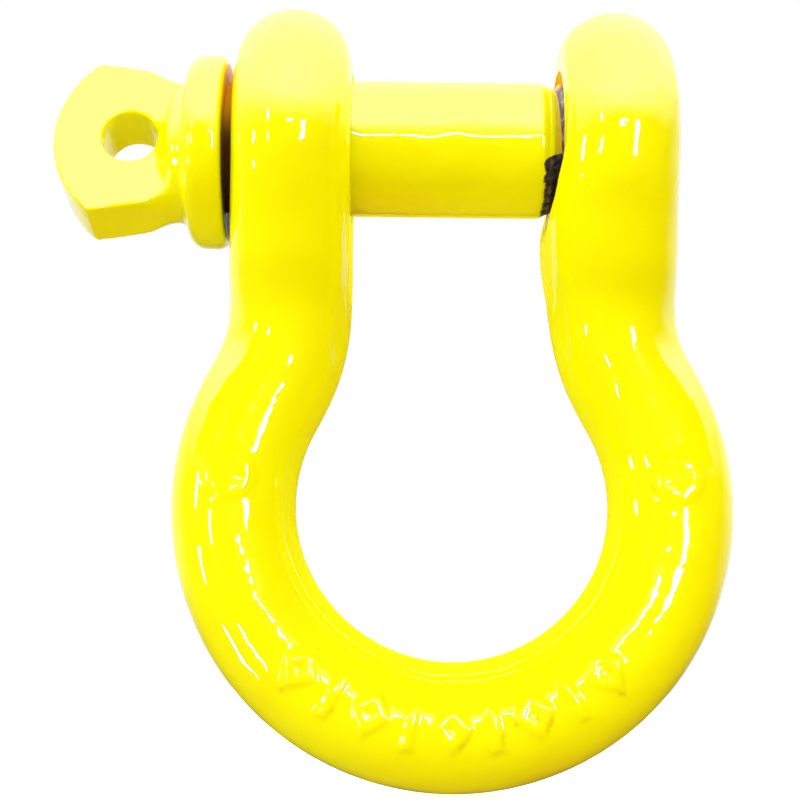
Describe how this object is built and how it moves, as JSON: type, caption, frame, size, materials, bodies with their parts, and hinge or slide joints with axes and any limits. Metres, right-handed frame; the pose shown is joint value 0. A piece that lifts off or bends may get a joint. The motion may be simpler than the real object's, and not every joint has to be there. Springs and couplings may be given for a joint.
{
  "type": "screw pin bow shackle",
  "caption": "Painted forged bow shackle with round eyes and a screw pin that has a collar and a flat eye tab; the pin unscrews and withdraws.",
  "frame": {"origin": "on the axis of the screw pin, halfway between the inner faces of the two ears", "axes": "+X along the pin towards its threaded end, +Z from the crown of the bow towards the pin, -Y towards the side with the raised marks"},
  "size_m": [0.1108, 0.0448, 0.1262],
  "materials": {
    "bow_paint": "thick gloss enamel over forged steel",
    "pin_paint": "thick gloss enamel over forged steel"
  },
  "bodies": {
    "bow": {"bow_body": "bow_paint"},
    "pin": {"screw_pin": "pin_paint"}
  },
  "joints": [
    {"name": "pin_slide", "type": "slide", "parent": "bow", "child": "pin", "axis": [-1, 0, 0], "range_m": [-0.0011, 0.08]}
  ]
}
